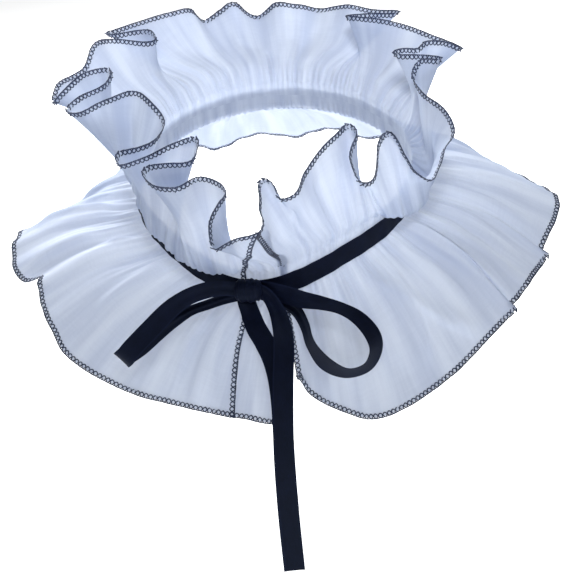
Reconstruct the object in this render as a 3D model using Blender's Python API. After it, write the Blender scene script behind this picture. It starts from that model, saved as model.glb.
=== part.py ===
"""Ruff collar: one long strip of sheer cloth, gathered on a line and worn round a neck.

The strip stands up above the gathering line as the upper ruffle and falls over the
shoulders below it as the lower ruffle. A narrow satin ribbon covers the gathers and is
tied at the front in a bow with two loops and two tails.

Frame: metres, +Z up, the front of the wearer faces -Y. The origin is the middle of the
neck ring. A bearing is in degrees from the front, growing towards the wearer's right
hand (-X), so 90 is the right shoulder, 180 the nape and 270 the left shoulder.
"""
from math import cos, exp, pi, radians, sin, tan

import bmesh
import bpy
import numpy as np

MM = 0.001

# Neck ring: the line on which the strip is gathered
NECK_HALF_WIDTH = 71 * MM
NECK_HALF_DEPTH = 64 * MM
NECK_TILT = 22  # degrees, the nape lies higher than the throat
BOW_BEARING = 14
BOW_DIP = 13 * MM  # the bow pulls the ring down at the throat
BOW_DIP_SPREAD = 30  # degrees
STRIP_START = -1  # bearings of the two short ends of the strip on the ring
STRIP_END = 358.3

# Cloth and ribbon
CLOTH_WALL = 1.2 * MM
RIBBON_WALL = 1.0 * MM
RIBBON_WIDTH = 10 * MM
RIBBON_TOP = 3.5 * MM  # above the gathering line
SEAM_GAP = 0.3 * MM
RUFFLE_LEAVES = 7.5 * MM  # how far from the gathering line the cloth is pressed flat

# How the cloth springs halfway from the ribbon to a free edge
UPPER_SPRING_SHARE = 0.55
UPPER_SPRING_OUT = 3.0 * MM
UPPER_SPRING_DOWN = 1.5 * MM
LOWER_SPRING_SHARE = 0.5
LOWER_SPRING_OUT = 3.0 * MM
LOWER_SPRING_UP = 4.0 * MM
PUFF_LEAN = 0.1  # share of the way to the edge by which a puff leans towards it
FOLDS_AT_MIDDLE = 0.35  # share of the edge's folds that the middle of the cloth follows
FOLD_SPREAD = 6  # columns to each side over which the rest is evened out

# How finely the cloth is divided; rows are shares of the length from the ribbon to the edge
UPPER_COLUMNS = 200
UPPER_ROWS = (0.0, 0.06, 0.13, 0.22, 0.4, 0.68, 1.0)
LOWER_COLUMNS = 164
LOWER_ROWS = (0.0, 0.12, 0.36, 0.66, 1.0)
RIBBON_COLUMNS = 72
BAND_SECTIONS = 36
CURVE_STEPS = 200
RING_STEPS = 1440

# Gathers: soft ridges that run away from the ring
UPPER_GATHERS = 50
UPPER_GATHER_HEIGHT = 0.6 * MM
LOWER_GATHERS = 42
LOWER_GATHER_HEIGHT = 1.2 * MM
GATHER_FADE = 0.55  # share of their height that the gathers have lost at the free edge
GATHER_WANDER = (
    # turns round the ring, strength in radians of a gather, start in radians
    (3, 1.7, 0.4),
    (7, 1.1, 2.0),
)
UNEVEN_TURNS = 5  # how often round the ring the gathers grow and shrink
UNEVENNESS = 0.25  # share of their height by which they do

# Plain looks
ORGANZA_COLOUR = (0.80, 0.86, 0.94)
ORGANZA_ROUGHNESS = 0.55
SATIN_COLOUR = (0.012, 0.014, 0.032)
SATIN_ROUGHNESS = 0.35
SHARP_ANGLE = 50  # degrees

# Upper edge of the upper ruffle, a row for each turn of its folds.
# bearing in degrees; out and up in mm from the ring at that bearing
TOP_FOLDS = (
    # bearing, out, up
    (7, 32, 39),
    (10, 37, 38),
    (13, 41, 36),
    (17, 43, 32),
    (19, 39, 38),
    (18, 32, 49),
    (17, 25, 54),
    (20, 17, 58),
    (26, 15, 58),
    (32, 24, 52),
    (37, 26, 49),
    (42, 26, 50),
    (42, 21, 55),
    (38, 14, 58),
    (32, 9, 61),
    (32, 1, 66),
    (36, -1, 68),
    (43, 5, 61),
    (49, 19, 52),
    (53, 24, 48),
    (57, 22, 49),
    (56, 13, 52),
    (55, 0, 54),
    (59, -8, 57),
    (68, -8, 59),
    (76, -2, 59),
    (80, 10, 54),
    (84, 25, 46),
    (88, 31, 45),
    (91, 25, 48),
    (97, 14, 50),
    (101, 14, 54),
    (102, 24, 52),
    (102, 37, 43),
    (102, 43, 38),
    (106, 42, 44),
    (114, 34, 45),
    (119, 31, 54),
    (126, 28, 51),
    (134, 24, 44),
    (138, 22, 43),
    (139, 28, 47),
    (134, 36, 48),
    (135, 42, 50),
    (142, 33, 51),
    (149, 25, 52),
    (157, 26, 50),
    (162, 32, 41),
    (167, 29, 45),
    (172, 28, 48),
    (179, 33, 38),
    (185, 29, 45),
    (192, 29, 44),
    (200, 34, 41),
    (208, 31, 45),
    (218, 20, 44),
    (228, 23, 45),
    (237, 29, 44),
    (246, 36, 42),
    (252, 37, 41),
    (252, 22, 42),
    (258, 3, 46),
    (266, 4, 45),
    (274, 8, 38),
    (282, 17, 35),
    (288, 25, 29),
    (296, 24, 23),
    (304, 26, 19),
    (309, 21, 25),
    (311, 17, 37),
    (315, 12, 48),
    (321, 12, 46),
    (328, 20, 37),
    (334, 22, 38),
    (336, 18, 49),
    (332, 14, 57),
    (332, 8, 61),
    (338, 12, 59),
    (346, 17, 56),
    (351, 23, 52),
    (356, 32, 43),
    (361, 31, 43),
    (362, 27, 48),
    (365, 27, 48),
    (365, 36, 42),
    (365, 41, 34),
    (362, 43, 30),
)

# Hem of the lower ruffle, a row for each turn of its folds, as above but with drop in mm
HEM_FOLDS = (
    # bearing, out, drop
    (4, 29, 61),
    (9, 29, 60),
    (15, 29, 57),
    (21, 31, 55),
    (28, 33, 54),
    (35, 37, 53),
    (42, 43, 53),
    (48, 50, 52),
    (53, 56, 50),
    (58, 60, 46),
    (62, 61, 40),
    (67, 61, 34),
    (72, 59, 28),
    (75, 57, 27),
    (78, 64, 31),
    (82, 68, 30),
    (87, 69, 26),
    (93, 67, 23),
    (102, 66, 31),
    (111, 62, 38),
    (120, 63, 41),
    (129, 58, 43),
    (138, 61, 43),
    (147, 57, 43),
    (156, 60, 35),
    (166, 57, 40),
    (176, 60, 36),
    (186, 57, 39),
    (196, 60, 35),
    (206, 57, 39),
    (216, 61, 34),
    (226, 59, 37),
    (235, 64, 34),
    (244, 64, 34),
    (252, 70, 35),
    (260, 72, 33),
    (267, 76, 31),
    (273, 73, 34),
    (278, 67, 38),
    (282, 65, 41),
    (290, 61, 46),
    (298, 55, 52),
    (308, 50, 59),
    (316, 46, 65),
    (325, 42, 70),
    (334, 38, 72),
    (341, 35, 70),
    (347, 31, 64),
    (352, 27, 58),
    (355, 23, 51),
    (357, 19, 43),
)

# How the upper ruffle leaves the ribbon: on the wearer's right front it puffs down over it.
# out and up in mm from the ring
PUFFS = (
    # bearing, out, up
    (-1, 3.5, 11),
    (14, 4.5, 9),
    (24, 7.5, 3),
    (45, 9, 0),
    (68, 8, 2),
    (95, 4, 11),
    (180, 2.5, 14),
    (262, 4, 11),
    (280, 7.5, 4),
    (300, 8, 3),
    (315, 4, 10),
    (358.3, 3.5, 11),
)

# Bow, measured from the middle of the knot in mm: to the picture's right, up and forward.
# turn is how far the ribbon is turned edge-on to the front, in degrees; width is a share of
# the ribbon's width, which is less where it is drawn together into the knot
KNOT_SIZE = (13, 8, 12)
KNOT_ROUNDING = 3.4
KNOT_FORWARD = 6.2  # mm from the ring to the middle of the knot

LEFT_LOOP = (
    # right, up, forward, turn, width
    (-7.2, 1.8, 1.6, 0, 0.5),
    (-13.0, 3.8, 3.2, 0, 0.65),
    (-20.5, 4.6, 6.5, 0, 0.8),
    (-29.0, 2.8, 9.5, 0, 0.9),
    (-38.0, -1.5, 13.0, 0, 1),
    (-48.0, -9.0, 17.0, 0, 1),
    (-57.0, -16.0, 20.6, 0, 1),
    (-61.4, -20.4, 21.2, 0, 1),
    (-63.4, -22.4, 18.8, 0, 1),
    (-61.2, -21.0, 16.2, 0, 1),
    (-54.0, -17.0, 13.6, 0, 1),
    (-45.5, -10.5, 11.0, 0, 1),
    (-37.0, -5.0, 8.0, 0, 0.9),
    (-28.5, -2.5, 5.0, 20, 0.8),
    (-20.0, -2.0, 2.4, 10, 0.65),
    (-13.0, -2.0, 0.4, 0, 0.55),
    (-7.2, -2.0, -1.0, 0, 0.5),
)
RIGHT_LOOP = (
    # right, up, forward, turn, width
    (7.2, 0.5, 0.8, 0, 0.5),
    (16.0, -0.6, 5.8, 0, 0.7),
    (25.5, -2.6, 11.5, 10, 0.85),
    (34.5, -4.8, 14.0, 40, 1),
    (44.0, -8.0, 16.5, 60, 1),
    (52.0, -13.5, 18.5, 55, 1),
    (57.5, -21.5, 21.0, 45, 1),
    (58.0, -29.0, 23.0, 45, 1),
    (53.0, -35.2, 25.0, 45, 1),
    (43.0, -36.0, 26.5, 40, 1),
    (33.5, -30.5, 26.0, 30, 1),
    (27.5, -22.5, 22.0, 45, 1),
    (25.5, -15.5, 15.0, 50, 0.9),
    (22.0, -10.5, 7.4, 10, 0.6),
    (16.0, -7.0, 1.8, 0, 0.5),
    (7.2, -3.0, -1.6, 0, 0.5),
)
FRONT_TAIL = (
    # right, up, forward, turn, width
    (7.8, -0.8, 3.2, 0, 0.4),
    (9.8, -2.2, 5.4, 0, 0.45),
    (11.8, -5.4, 9.0, 0, 0.55),
    (13.6, -9.8, 13.0, 0, 0.75),
    (14.8, -16.0, 18.0, 0, 0.95),
    (14.5, -23.5, 22.5, 0, 1),
    (13.0, -34.5, 27.0, 0, 1),
    (11.4, -50.0, 30.5, 0, 1),
    (9.8, -70.0, 33.0, 0, 1),
    (9.0, -88.0, 34.0, 0, 1),
    (8.6, -110.0, 34.2, 0, 1),
    (8.4, -134.5, 34.2, 0, 1),
)
BACK_TAIL = (
    # right, up, forward, turn, width
    (-0.5, -8.0, 2.2, 0, 0.8),
    (0.5, -11.2, 6.0, 0, 0.9),
    (2.2, -15.6, 11.0, 0, 1),
    (5.4, -21.2, 15.5, 0, 1),
    (8.6, -28.5, 20.0, 0, 1),
    (10.4, -37.5, 24.0, 0, 1),
    (10.8, -50.0, 27.2, 0, 1),
    (10.2, -64.0, 29.6, 0, 1),
    (9.5, -84.0, 31.0, 0, 1),
    (9.2, -104.0, 31.2, 0, 1),
)


def outward(bearing):
    """Level direction away from the neck."""
    turn = radians(bearing)
    return np.array([-sin(turn), -cos(turn), 0.0])


UP = np.array([0.0, 0.0, 1.0])


def neckline(bearing):
    """Point of the gathering line: a tilted oval, pulled down under the bow."""
    turn = radians(bearing)
    x = -NECK_HALF_WIDTH * sin(turn)
    y = -NECK_HALF_DEPTH * cos(turn)
    off_bow = (bearing - BOW_BEARING + 180) % 360 - 180
    dip = BOW_DIP * exp(-((off_bow / BOW_DIP_SPREAD) ** 2))
    return np.array([x, y, y * tan(radians(NECK_TILT)) - dip])


def smooth_curve(points, count, finer=14):
    """Catmull-Rom curve through the points, as count points at even steps of length."""
    p = np.array(points, dtype=float)
    p = np.vstack([2 * p[0] - p[1], p, 2 * p[-1] - p[-2]])
    fine = []
    for a, b, c, d in zip(p[:-3], p[1:-2], p[2:-1], p[3:]):
        for k in range(finer):
            t = k / finer
            fine.append(
                b + 0.5 * t * (c - a)
                + t * t * (a - 2.5 * b + 2 * c - 0.5 * d)
                + t**3 * (1.5 * (b - c) + 0.5 * (d - a))
            )
    fine.append(p[-2])
    fine = np.array(fine)
    steps = np.linalg.norm(np.diff(fine[:, :3], axis=0), axis=1)
    length = np.concatenate([[0.0], np.cumsum(steps)])
    at = np.linspace(0.0, length[-1], count)
    return np.stack([np.interp(at, length, column) for column in fine.T], axis=1)


def even_bearings(columns):
    """Bearings at even steps along the ring, from one short end of the strip to the other."""
    fine = np.linspace(STRIP_START, STRIP_END, RING_STEPS + 1)
    line = np.array([neckline(b) for b in fine])
    length = np.concatenate([[0.0], np.cumsum(np.linalg.norm(np.diff(line, axis=0), axis=1))])
    return np.interp(np.linspace(0.0, length[-1], columns + 1), length, fine)


def edge_from_folds(folds, columns, sign):
    """The free edge of a ruffle through its rows of folds, at even steps of cloth."""
    rows = []
    for bearing, out, rise in folds:
        rows.append(neckline(bearing) + outward(bearing) * out * MM + UP * sign * rise * MM)
    return smooth_curve(rows, columns + 1)


def table_at(table, bearing):
    """A row of a table of bearings, between its own rows."""
    bearings = [row[0] for row in table]
    return [np.interp(bearing, bearings, [row[k] for row in table]) for k in range(1, len(table[0]))]


def section_points(start, stations, rows):
    """A section of cloth: its gathered start, then the curve sampled at the shares in rows."""
    line = smooth_curve(stations, CURVE_STEPS + 1)
    return [start] + [line[round(share * CURVE_STEPS)] for share in rows]


def evened(edge):
    """The edge as the middle of the cloth follows it, its tight folds spread out."""
    padded = np.pad(edge, ((FOLD_SPREAD, FOLD_SPREAD), (0, 0)), mode="edge")
    window = np.hanning(2 * FOLD_SPREAD + 3)[1:-1]
    window /= window.sum()
    smooth = np.stack([np.convolve(column, window, "valid") for column in padded.T], axis=1)
    return FOLDS_AT_MIDDLE * edge + (1 - FOLDS_AT_MIDDLE) * smooth


def upper_section(bearing, top, soft_top):
    """The upper ruffle at one column: up inside the ribbon, over it, then on to its edge."""
    base = neckline(bearing)
    away = outward(bearing)
    leaves = base + UP * RUFFLE_LEAVES
    puff_out, puff_up = table_at(PUFFS, bearing)
    puff = base + away * puff_out * MM + UP * puff_up * MM + PUFF_LEAN * (soft_top - leaves)
    middle = leaves + UPPER_SPRING_SHARE * (soft_top - leaves)
    middle = middle + away * UPPER_SPRING_OUT - UP * UPPER_SPRING_DOWN
    return section_points(base + UP * SEAM_GAP / 2, [leaves, puff, middle, top], UPPER_ROWS)


def lower_section(bearing, hem):
    """The lower ruffle at one column: down inside the ribbon, then out over the shoulder."""
    base = neckline(bearing)
    away = outward(bearing)
    leaves = base - UP * RUFFLE_LEAVES
    middle = leaves + LOWER_SPRING_SHARE * (hem - leaves)
    middle = middle + away * LOWER_SPRING_OUT + UP * LOWER_SPRING_UP
    return section_points(base - UP * SEAM_GAP / 2, [leaves, middle, hem], LOWER_ROWS)


def sheet_normals(grid):
    """Unit normals of a grid of points, columns first."""
    along = np.gradient(grid, axis=0)
    across = np.gradient(grid, axis=1)
    normal = np.cross(along, across)
    return normal / np.linalg.norm(normal, axis=2, keepdims=True)


def gathered(grid, bearings, shares, count, height):
    """Adds soft uneven gathers that start past the ribbon and fade towards the free edge."""
    turn = np.radians(np.array(bearings))
    phase = count * turn
    for turns, strength, start in GATHER_WANDER:
        phase = phase + strength * np.sin(turns * turn + start)
    wave = np.sin(phase) * (1 - UNEVENNESS + UNEVENNESS * np.sin(UNEVEN_TURNS * turn + 1.0))
    fade = np.array([0.0, 0.0] + [1.0 - GATHER_FADE * share for share in shares[1:]])
    return grid + sheet_normals(grid) * (wave[:, None] * fade[None, :] * height)[:, :, None]


def material(name, colour, roughness, metallic=0.0):
    made = bpy.data.materials.new(name)
    made.use_nodes = True
    shader = made.node_tree.nodes["Principled BSDF"]
    shader.inputs["Base Color"].default_value = (*colour, 1.0)
    shader.inputs["Roughness"].default_value = roughness
    shader.inputs["Metallic"].default_value = metallic
    return made


def add_object(name, mesh, look):
    made = bpy.data.objects.new(name, mesh)
    bpy.context.collection.objects.link(made)
    mesh.materials.append(look)
    mesh.shade_smooth()
    mesh.set_sharp_from_angle(angle=radians(SHARP_ANGLE))
    return made


def wall_object(name, grid, thickness, look):
    """A closed wall of one thickness with the grid of points as its middle surface."""
    normal = sheet_normals(grid)
    sides = (grid + normal * thickness / 2, grid - normal * thickness / 2)
    columns, rows = grid.shape[:2]
    shape = bmesh.new()
    front, back = ([[shape.verts.new(p) for p in column] for column in side] for side in sides)
    for i in range(columns - 1):
        for j in range(rows - 1):
            shape.faces.new((front[i][j], front[i + 1][j], front[i + 1][j + 1], front[i][j + 1]))
            shape.faces.new((back[i][j], back[i][j + 1], back[i + 1][j + 1], back[i + 1][j]))
    for i in range(columns - 1):
        shape.faces.new((front[i][0], back[i][0], back[i + 1][0], front[i + 1][0]))
        shape.faces.new((front[i][-1], front[i + 1][-1], back[i + 1][-1], back[i][-1]))
    for j in range(rows - 1):
        shape.faces.new((front[0][j], front[0][j + 1], back[0][j + 1], back[0][j]))
        shape.faces.new((front[-1][j], back[-1][j], back[-1][j + 1], front[-1][j + 1]))
    bmesh.ops.recalc_face_normals(shape, faces=shape.faces)
    mesh = bpy.data.meshes.new(name)
    shape.to_mesh(mesh)
    shape.free()
    return add_object(name, mesh, look)


def make_upper_ruffle(look):
    bearings = even_bearings(UPPER_COLUMNS)
    edge = edge_from_folds(TOP_FOLDS, UPPER_COLUMNS, 1)
    columns = zip(bearings, edge, evened(edge))
    grid = np.array([upper_section(bearing, top, soft_top) for bearing, top, soft_top in columns])
    grid = gathered(grid, bearings, UPPER_ROWS, UPPER_GATHERS, UPPER_GATHER_HEIGHT)
    return wall_object("upper_ruffle", grid, CLOTH_WALL, look)


def make_lower_ruffle(look):
    bearings = even_bearings(LOWER_COLUMNS)
    edge = edge_from_folds(HEM_FOLDS, LOWER_COLUMNS, -1)
    grid = np.array([lower_section(b, hem) for b, hem in zip(bearings, edge)])
    grid = gathered(grid, bearings, LOWER_ROWS, LOWER_GATHERS, LOWER_GATHER_HEIGHT)
    return wall_object("lower_ruffle", grid, CLOTH_WALL, look)


def make_neck_ribbon(look):
    """The ribbon round the neck, from one side of the knot round to the other."""
    clearance = CLOTH_WALL / 2 + SEAM_GAP + RIBBON_WALL / 2
    half_knot = degrees_of_knot()
    bearings = np.linspace(BOW_BEARING + half_knot, BOW_BEARING + 360 - half_knot, RIBBON_COLUMNS + 1)
    grid = []
    for bearing in bearings:
        middle = neckline(bearing) + outward(bearing) * clearance
        heights = (RIBBON_TOP, RIBBON_TOP - RIBBON_WIDTH / 2, RIBBON_TOP - RIBBON_WIDTH)
        grid.append([middle + UP * height for height in heights])
    return wall_object("neck_ribbon", np.array(grid), RIBBON_WALL, look)


def degrees_of_knot():
    """Half the knot's width and its gap, as a turn round the ring."""
    half_width = KNOT_SIZE[0] / 2 * MM + SEAM_GAP
    return half_width / NECK_HALF_DEPTH * 180 / pi


def knot_middle():
    return neckline(BOW_BEARING) + outward(BOW_BEARING) * KNOT_FORWARD * MM


def make_knot(look):
    """The wrapped knot: a block with well rounded edges, turned to face outwards."""
    mesh = bpy.data.meshes.new("bow_knot")
    shape = bmesh.new()
    bmesh.ops.create_cube(shape, size=1.0)
    for vert in shape.verts:
        vert.co = [c * size * MM for c, size in zip(vert.co, KNOT_SIZE)]
    bmesh.ops.bevel(
        shape,
        geom=shape.edges[:],
        offset=KNOT_ROUNDING * MM,
        segments=3,
        profile=0.5,
        affect="EDGES",
        clamp_overlap=True,
    )
    shape.to_mesh(mesh)
    shape.free()
    knot = add_object("bow_knot", mesh, look)
    knot.location = knot_middle()
    knot.rotation_euler = (0, 0, -radians(BOW_BEARING))
    return knot


def make_band(name, stations, look):
    """A length of ribbon through its stations, each turned about its own run."""
    rows = smooth_curve(
        [(right * MM, -forward * MM, up * MM, turn, width) for right, up, forward, turn, width in stations],
        BAND_SECTIONS + 1,
    )
    path = rows[:, :3] + knot_middle()
    run = np.gradient(path, axis=0)
    run /= np.linalg.norm(run, axis=1, keepdims=True)
    forward = np.array([0.0, -1.0, 0.0])
    grid = []
    for point, ahead, turn, width in zip(path, run, np.radians(rows[:, 3]), rows[:, 4]):
        towards = forward - ahead * np.dot(forward, ahead)
        towards /= np.linalg.norm(towards)
        sideways = np.cross(ahead, towards)
        if grid and np.dot(sideways, before) < 0:
            sideways = -sideways
        before = sideways
        across = (sideways * cos(turn) + towards * sin(turn)) * RIBBON_WIDTH * width
        grid.append([point + across * share for share in (-0.5, 0.0, 0.5)])
    return wall_object(name, np.array(grid), RIBBON_WALL, look)


def main():
    for old in list(bpy.data.objects):
        bpy.data.objects.remove(old, do_unlink=True)
    organza = material("sheer_cloth", ORGANZA_COLOUR, ORGANZA_ROUGHNESS)
    satin = material("satin_ribbon", SATIN_COLOUR, SATIN_ROUGHNESS)
    make_upper_ruffle(organza)
    make_lower_ruffle(organza)
    make_neck_ribbon(satin)
    make_knot(satin)
    make_band("bow_loop_left", LEFT_LOOP, satin)
    make_band("bow_loop_right", RIGHT_LOOP, satin)
    make_band("bow_tail_front", FRONT_TAIL, satin)
    make_band("bow_tail_back", BACK_TAIL, satin)


main()
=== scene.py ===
"""Ruff collar: sheer gathered cloth, overlocked edges and a satin ribbon tied in a bow.

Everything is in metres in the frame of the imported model: +Z up, -Y to the wearer's front,
the origin in the middle of the neck ring. A bearing is in degrees from the front, growing
towards the wearer's right hand (-X).
"""
from math import cos, exp, pi, radians, sin, tan

import bmesh
import bpy
import numpy as np
from mathutils import Matrix, Vector


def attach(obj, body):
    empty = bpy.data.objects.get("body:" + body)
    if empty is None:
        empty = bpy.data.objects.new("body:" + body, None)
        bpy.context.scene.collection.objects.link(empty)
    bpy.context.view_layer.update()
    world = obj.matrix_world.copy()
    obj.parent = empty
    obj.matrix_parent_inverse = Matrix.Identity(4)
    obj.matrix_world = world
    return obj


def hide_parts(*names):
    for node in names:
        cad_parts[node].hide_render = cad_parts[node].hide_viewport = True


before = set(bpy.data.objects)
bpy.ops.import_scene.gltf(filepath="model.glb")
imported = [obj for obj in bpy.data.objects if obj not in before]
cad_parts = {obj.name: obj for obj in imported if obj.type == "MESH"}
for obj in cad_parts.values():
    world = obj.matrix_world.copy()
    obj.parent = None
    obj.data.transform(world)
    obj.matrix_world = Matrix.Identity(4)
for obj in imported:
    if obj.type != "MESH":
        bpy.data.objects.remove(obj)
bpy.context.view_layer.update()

MM = 0.001
UP = np.array([0.0, 0.0, 1.0])

# Neck ring, cloth and ribbon: the same sizes as the solids
NECK_HALF_WIDTH = 71 * MM
NECK_HALF_DEPTH = 64 * MM
NECK_TILT = 22
BOW_BEARING = 14
BOW_DIP = 13 * MM
BOW_DIP_SPREAD = 30
STRIP_START = -1
STRIP_END = 358.9
CLOTH_WALL = 1.2 * MM
RIBBON_WALL = 1.0 * MM
RIBBON_WIDTH = 10 * MM
RIBBON_TOP = 3.5 * MM
SEAM_GAP = 0.3 * MM
RUFFLE_LEAVES = 7.5 * MM
UPPER_SPRING_SHARE = 0.55
UPPER_SPRING_OUT = 3.0 * MM
UPPER_SPRING_DOWN = 1.5 * MM
LOWER_SPRING_SHARE = 0.5
LOWER_SPRING_OUT = 3.0 * MM
LOWER_SPRING_UP = 4.0 * MM
PUFF_LEAN = 0.1
FOLDS_AT_MIDDLE = 0.35
FOLD_SPREAD = 6 / 200  # share of the strip's columns
UPPER_GATHERS = 50
UPPER_GATHER_HEIGHT = 0.6 * MM
LOWER_GATHERS = 42
LOWER_GATHER_HEIGHT = 1.2 * MM
GATHER_RISE = 0.08
GATHER_FADE = 0.55

# How the right end of the strip laps over the left one at the ribbon
LAP_FROM = 350
LAP = 3  # degrees
LAP_OUT = 0.7 * MM

# How finely the visible cloth is divided
UPPER_COLUMNS = 1000
UPPER_STEPS = 56
LOWER_COLUMNS = 900
LOWER_STEPS = 60
RIBBON_COLUMNS = 420
BAND_COLUMNS = 170
RIBBON_STEPS = 8
PRESSED_ROWS = 4  # rows of cloth between the gathering line and where a ruffle leaves
PRESSED_SHARES = (-0.1, -0.02)  # where those rows stand before the shares of the depth
FREE_FROM = -0.075
FREE_OVER = 0.08
KNOT_RINGS = 40
KNOT_AROUND = 64

# Upper edge, a row for each turn of its folds: bearing in degrees, out and up in mm from the
# ring. Most rows with decimals, here and in the hem, come from a scratch program that fitted
# them to places read in the photo
TOP_FOLDS = (
    # bearing, out, up
    (3.5, 31.5, 36.5),
    (9.8, 36.9, 37.4),
    (12.6, 40.8, 36.2),
    (16, 42.5, 34),
    (17.3, 38, 42.8),
    (15.9, 31, 50.3),
    (14.8, 24, 54.5),
    (17.9, 16, 56.8),
    (25.4, 14.6, 55.6),
    (30.4, 22.5, 50.3),
    (35.8, 24.6, 47.7),
    (40.7, 24.2, 48.5),
    (41.5, 20.3, 51.3),
    (37.3, 13.2, 54.4),
    (30.3, 7.7, 59),
    (30, -0.4, 64.5),
    (33.2, -3.1, 65.7),
    (40.8, 2.7, 58.3),
    (47.4, 16.4, 49.2),
    (52.1, 22.3, 45.1),
    (55.8, 19.3, 47),
    (53.8, 8.9, 48.7),
    (53.2, -2.7, 51.9),
    (58.2, -9.2, 55.2),
    (68, -8, 59),
    (76, -2, 59),
    (80, 10, 54),
    (84, 25, 46),
    (88, 31, 45),
    (91, 25, 48),
    (97, 11, 50),
    (101, 10.5, 54),
    (102, 24, 52),
    (102, 37, 43),
    (102, 43, 38),
    (106, 42, 44),
    (114, 34, 45),
    (119, 31, 54),
    (126, 27.9, 51.6),
    (135, 18, 44.5),
    (139.5, 17, 44),
    (140, 26, 47.5),
    (133, 37.9, 48.9),
    (133.4, 45, 49.1),
    (142, 33, 51),
    (149, 25, 52),
    (157, 26, 50),
    (162, 32, 41),
    (167, 29, 45),
    (172, 28, 48),
    (179, 33, 38),
    (185, 29, 45),
    (192, 29, 44),
    (200, 34, 41),
    (208, 31, 45),
    (215.3, 34.1, 43.5),
    (222.6, 38.5, 44.5),
    (224.4, 35.4, 44.2),
    (219.3, 23.2, 44.5),
    (214, 13.2, 43.9),
    (218.7, 13.5, 44.4),
    (226.8, 19.3, 44.7),
    (234.2, 26.5, 43.2),
    (241.7, 33.1, 40.8),
    (247, 38.3, 39.4),
    (249.7, 39.9, 38.9),
    (250, 29.6, 43.7),
    (249.5, 20.3, 45.1),
    (250.3, 14.6, 42.8),
    (250.4, 6.1, 44.1),
    (251.8, 0.2, 44.5),
    (255, 1.8, 44.4),
    (259.2, 10.8, 45.7),
    (262.1, 19.4, 45.5),
    (263.8, 18.7, 45.5),
    (265.3, 8.6, 47.6),
    (266, 4, 41.2),
    (274.1, 6.3, 38.3),
    (282, 17, 35),
    (288.3, 23.8, 29.8),
    (296.9, 21.4, 22.3),
    (305.6, 22.4, 18.5),
    (310.5, 18.3, 24.7),
    (312.4, 14.9, 34.1),
    (316.1, 10.6, 47.9),
    (322.2, 10.7, 46.8),
    (329, 19.1, 36.8),
    (334.6, 21.6, 39.3),
    (336.7, 17.6, 50),
    (332.3, 13.8, 58.5),
    (332.8, 7.5, 62.7),
    (339.4, 11.3, 62),
    (346.5, 16.8, 60.3),
    (351.3, 22.9, 56.3),
    (355.3, 32.1, 51.7),
    (359.6, 31, 50.4),
    (361.1, 27, 57.9),
    (364.2, 26.9, 60),
    (364.5, 35.9, 51.6),
    (364.2, 40.9, 45.4),
    (365.3, 43.4, 38.7),
)

# Hem, as above but with drop in mm
HEM_FOLDS = (
    # bearing, out, drop
    (4, 29, 61),
    (9, 29, 60),
    (15, 29, 57.6),
    (21.1, 31.1, 56.7),
    (28.2, 33.2, 57),
    (35.5, 37.6, 57.6),
    (42.4, 43.8, 57.7),
    (48.1, 50.2, 55.1),
    (53.3, 56.7, 50.9),
    (58.2, 60.5, 46.6),
    (62, 61, 40),
    (67, 61, 34),
    (72, 59, 28),
    (75, 57, 27),
    (78, 64, 31),
    (82, 68, 30),
    (87, 69, 26),
    (93, 67, 23),
    (102, 66, 31),
    (111, 62, 38),
    (120, 63, 41),
    (129, 58, 43),
    (138, 61, 43),
    (147, 57, 43),
    (156, 60, 35),
    (166, 57, 40),
    (176, 60, 36),
    (186, 57, 39),
    (196, 60, 35),
    (206, 57, 39),
    (216, 61, 34),
    (226, 59, 37),
    (235, 64, 34),
    (244, 64, 34),
    (252, 70, 35),
    (260, 72, 33),
    (267, 76, 31),
    (273, 73, 34),
    (278, 67.4, 37.8),
    (280, 63.8, 43.5),
    (282, 67.2, 43.3),
    (283.1, 63.6, 48.1),
    (290, 61, 46),
    (296.7, 57.2, 48.9),
    (299, 54.4, 51.1),
    (300.1, 58.3, 51.2),
    (302.1, 54.2, 55),
    (308, 50, 59),
    (316, 46, 65),
    (325, 42, 70),
    (334.1, 37.9, 73.4),
    (341.1, 35, 71.9),
    (346.2, 30.9, 66.4),
    (351.8, 26.9, 59),
    (356.4, 23, 51.4),
    (358.9, 19, 43.7),
)

# How the upper ruffle leaves the ribbon; it puffs down over it where out is large
PUFFS = (
    # bearing, out, up
    (-1, 3.5, 11),
    (14, 4.5, 9),
    (24, 7.5, 2),
    (34, 8.5, -0.5),
    (45, 9, -1),
    (55, 7.5, 2),
    (62, 6, 5),
    (70, 5, 7),
    (95, 4, 11),
    (180, 2.5, 14),
    (262, 4, 11),
    (280, 8, 0),
    (296, 9, -4.5),
    (307, 9, -4),
    (315, 6.5, 2),
    (323, 4, 9),
    (358.3, 3.5, 11),
)

# Bow, from the middle of the knot in mm: to the picture's right, up, forward;
# turn is degrees edge-on, width is a share of the ribbon's width
WRAP_SIZE = (15, 8.6, 12)
KNOT_FORWARD = 6.2
LEFT_LOOP = (
    # right, up, forward, turn, width
    (-2.5, 0.9, 0.8, 0, 0.7),
    (-7.2, 1.8, 1.6, 0, 0.75),
    (-13.0, 3.4, 3.2, 0, 0.8),
    (-20.5, 4.2, 6.5, 0, 0.85),
    (-29.0, 2.8, 9.5, 0, 0.85),
    (-38.0, -1.5, 13.0, 0, 0.95),
    (-48.0, -9.0, 17.0, 0, 1),
    (-57.0, -16.0, 20.6, 0, 1),
    (-61.4, -20.4, 21.2, 0, 1),
    (-63.4, -22.4, 18.8, 0, 1),
    (-61.2, -21.4, 16.2, 0, 1),
    (-54.0, -18.0, 13.6, 0, 1),
    (-45.5, -12.8, 11.0, 0, 0.9),
    (-37.0, -8.8, 8.0, 0, 0.7),
    (-28.5, -5.8, 5.0, 20, 0.5),
    (-20.0, -4.4, 2.4, 10, 0.5),
    (-13.0, -3.2, 0.4, 0, 0.55),
    (-7.2, -2.4, -0.6, 0, 0.6),
    (-2.5, -1.6, -0.8, 0, 0.6),
)
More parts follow.
